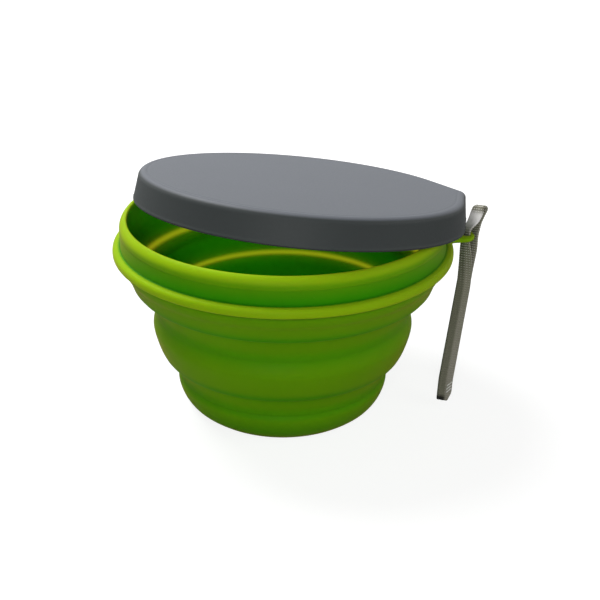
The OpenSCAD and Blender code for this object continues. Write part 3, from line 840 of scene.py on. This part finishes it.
def strapRows():
    # the ribbon's rounded flat section carried along the loop, then hung
    line = strapLine()
    ahead = np.roll(line, -1, 0) - np.roll(line, 1, 0)
    ahead /= np.linalg.norm(ahead, axis=1)[:, None]
    normal = np.stack([ahead[:, 1], -ahead[:, 0]], 1)
    w, t, e = strap["width"] / 2, strap["thick"] / 2, strap["edgeRound"]
    across = np.linspace(w - e, -w + e, 11)[1:-1]
    section = np.vstack([arcAbout([w - e, t - e], e, 0, 90, 4),
                         np.stack([across, t + 0.04 * np.cos(across * 2.4)], 1),
                         arcAbout([-w + e, t - e], e, 90, 180, 4),
                         arcAbout([-w + e, -t + e], e, 180, 270, 4),
                         np.stack([-across, np.full(9, -t)], 1),
                         arcAbout([w - e, -t + e], e, 270, 360, 4)])
    flat = line[:, None, :] + section[None, :, 1:] * normal[:, None, :]
    v = np.repeat(section[None, :, 0], len(line), 0)
    end = ease((-flat[..., 1] - strap["down"] + 5.5) / 6.5)
    v = v + (w - v) * 0.3 * end
    rows = hang(flat[..., 0], v, flat[..., 1])
    step = np.linalg.norm(np.roll(line, -1, 0) - line, axis=1)
    run = np.concatenate([[0], np.cumsum(step)[:-1]])
    uv = np.stack([np.repeat(run[:, None], len(section), 1), v], 2) * mm
    h = np.repeat(line[:, 1:], len(section), 1)
    inner = np.repeat((line[:, :1] < 0.3), len(section), 1)
    outside = np.repeat(section[None, :, 1] > 0, len(line), 0)
    k = np.clip((h - 0.5) / 4.0, 0, 1) * np.clip((strap["up"] - 2.2 - h) / 2.5, 0, 1)
    # satin: the smooth face, painted near white, partly a painted highlight
    satin = k * inner * outside
    # the half of the ribbon in painted light, against the other half in painted shade
    paintedLitSide = np.clip(0.5 - v / 0.7, 0, 1)
    # hollow: painted deep shade inside the lowest bend
    hollow = np.clip((-h - strap["down"] + 3.2) / 1.2, 0, 1) * np.clip(0.5 + v / 1.4, 0, 1)
    paler = np.clip((-h - 26) / 34, 0, 1) * (0.25 + 0.75 * paintedLitSide)
    # shine: grows up the strap, where the floats are painted paler as a painted highlight
    shine = np.clip((h + 30) / 24, 0, 1)
    return rows, uv, {"satin": satin, "paintedLitSide": paintedLitSide, "hollow": hollow, "paler": paler,
                      "shine": shine}, line[:, 1]


def zigzagRows(side, s):
    # a thread of round section sewn to and fro on one face of the strap. Every other stroke shows,
    # slanting down by fall while v runs from one place to the other; the strokes between them go
    # back inside the ribbon.
    k = np.linspace(0, s["strokes"] * 2 - 1, (s["strokes"] * 2 - 1) * 10 + 1)
    pair, t = np.floor(k / 2), k % 2
    back = np.clip(t - 1, 0, 1)
    v = s["from"] + (s["to"] - s["from"]) * ease(1 - np.abs(t - 1))
    h = (-s["start"] - pair * s["pitch"] - np.minimum(t, 1) * s["fall"]
         + back * (s["fall"] - s["pitch"]))
    deep = np.sin(math.pi * back) ** 0.5 * s["depth"]
    ahead = np.stack([np.gradient(v), np.gradient(h)], 1)
    ahead /= np.linalg.norm(ahead, axis=1)[:, None]
    a = np.linspace(0, 2 * math.pi, 10, endpoint=False)
    u0 = strap["tailHalf"] + strap["thick"] + s["thread"] * 0.5 - deep
    u = side * (u0[:, None] + s["thread"] * np.sin(a)[None, :])
    vv = v[:, None] - s["thread"] * np.cos(a)[None, :] * ahead[:, 1:]
    hh = h[:, None] + s["thread"] * np.cos(a)[None, :] * ahead[:, :1]
    return hang(u, vv, hh)


sRows, sUv, sShades, sHeight = strapRows()
# the ribbon is parted inside the slot into the eye above and the loop that hangs below
below = np.flatnonzero(sHeight < strap["cutH"])
above = np.concatenate([np.arange(below[-1], len(sHeight)), np.arange(below[0] + 1)])
strapEye, strapLoop = (
    skinMesh(name, sRows[part], False, "strap", ribbonLook, uv=sUv[part],
             shades={key: value[part] for key, value in sShades.items()}, sharp=60)
    for name, part in (("strapEye", above), ("strapLoop", below)))
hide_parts("strap_webbing")
threads = [skinMesh(name, zigzagRows(side, zigzag), False, "strap", threadLook)
           for name, side in (("stitchFront", -1), ("stitchBack", 1))]
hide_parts("strap_stitching")
# the hanging loop and the threads each take a mesh of their own
for piece in [strapLoop] + threads:
    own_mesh(piece)
print("strap made")

# each lamp's name, place, aim, size and power
studio = {"floorSize": 3.0, "floorTone": 0.32, "floorCloud": 1.02, "paperNear": 0.84,
          "nearR": 0.12, "farR": 0.5, "air": 0.13,
          "lamps": (("keyLamp", (-0.38, 0.42, 0.92), (0, 0, 0.06), 0.6, 10),
                    ("frontLamp", (-0.24, -0.9, 0.38), (0, 0, 0.06), 0.42, 2.8),
                    ("fillLamp", (0.9, -0.5, 0.5), (0, 0, 0.05), 0.8, 1.9))}


def areaLamp(name, place, aim, size, power):
    # a round soft lamp at place, turned towards aim
    data = bpy.data.lights.new(name, "AREA")
    data.shape, data.size, data.energy = "DISK", size, power
    lamp = bpy.data.objects.new(name, data)
    lamp.location = place
    lamp.rotation_mode = "QUATERNION"
    lamp.rotation_quaternion = (Vector(aim) - Vector(place)).to_track_quat("-Z", "Y")
    bpy.context.scene.collection.objects.link(lamp)


def makeStudio(s):
    # a pale floor that turns white for the camera but keeps the shadow, a plain world, soft lamps
    half = s["floorSize"] / 2
    mesh = bpy.data.meshes.new("floor")
    mesh.from_pydata([(-half, -half, 0), (half, -half, 0), (half, half, 0), (-half, half, 0)], [],
                     [(0, 1, 2, 3)])
    floor = bpy.data.objects.new("floor", mesh)
    bpy.context.scene.collection.objects.link(floor)
    n = Nodes("floorPaper")
    where = n.add("ShaderNodeTexCoord").outputs["Object"]
    tone = s["floorTone"]
    n.put(n.shader.inputs["Base Color"],
          n.mix(n.noise(where, 60.0), (tone, tone, tone, 1), (*(tone * s["floorCloud"],) * 3, 1)))
    n.put(n.shader.inputs["Roughness"], n.spread(n.noise(where, 900.0), 0.8, 0.95))
    n.shader.inputs["Specular IOR Level"].default_value = 0.1
    ray = n.add("ShaderNodeLightPath").outputs["Is Camera Ray"]
    away = n.add("ShaderNodeVectorMath", {0: where}, operation="LENGTH").outputs["Value"]
    rise = n.add("ShaderNodeMapRange",
                 {0: away, 1: s["nearR"], 2: s["farR"], 3: s["paperNear"], 4: 1.0},
                 interpolation_type="SMOOTHSTEP").outputs[0]
    glow = n.add("ShaderNodeEmission",
                 {"Color": (1, 1, 1, 1), "Strength": n.maths("MULTIPLY", ray, rise)})
    both = n.add("ShaderNodeAddShader", {0: n.shader.outputs[0], 1: glow.outputs[0]})
    out = [x for x in n.tree.nodes if x.type == "OUTPUT_MATERIAL"][0]
    n.tree.links.new(both.outputs[0], out.inputs[0])
    mesh.materials.append(n.material)

    # the world is white where the camera or a reflection sees it, and dim as a light
    world = bpy.data.worlds.new("studioAir")
    world.use_nodes = True
    bpy.context.scene.world = world
    nodes, link = world.node_tree.nodes, world.node_tree.links.new
    nodes.clear()
    path = nodes.new("ShaderNodeLightPath")
    direct, seen = nodes.new("ShaderNodeMath"), nodes.new("ShaderNodeMath")
    direct.operation = seen.operation = "MAXIMUM"
    link(path.outputs["Is Camera Ray"], direct.inputs[0])
    link(path.outputs["Is Glossy Ray"], direct.inputs[1])
    link(direct.outputs[0], seen.inputs[0])
    link(path.outputs["Is Transmission Ray"], seen.inputs[1])
    dim, white = nodes.new("ShaderNodeBackground"), nodes.new("ShaderNodeBackground")
    for node, strength in ((dim, s["air"]), (white, 1.0)):
        node.inputs[0].default_value, node.inputs[1].default_value = (1, 1, 1, 1), strength
    mix, out = nodes.new("ShaderNodeMixShader"), nodes.new("ShaderNodeOutputWorld")
    link(seen.outputs[0], mix.inputs[0])
    link(dim.outputs[0], mix.inputs[1])
    link(white.outputs[0], mix.inputs[2])
    link(mix.outputs[0], out.inputs[0])

    for lamp in s["lamps"]:
        areaLamp(*lamp)


makeStudio(studio)
print("studio lit")
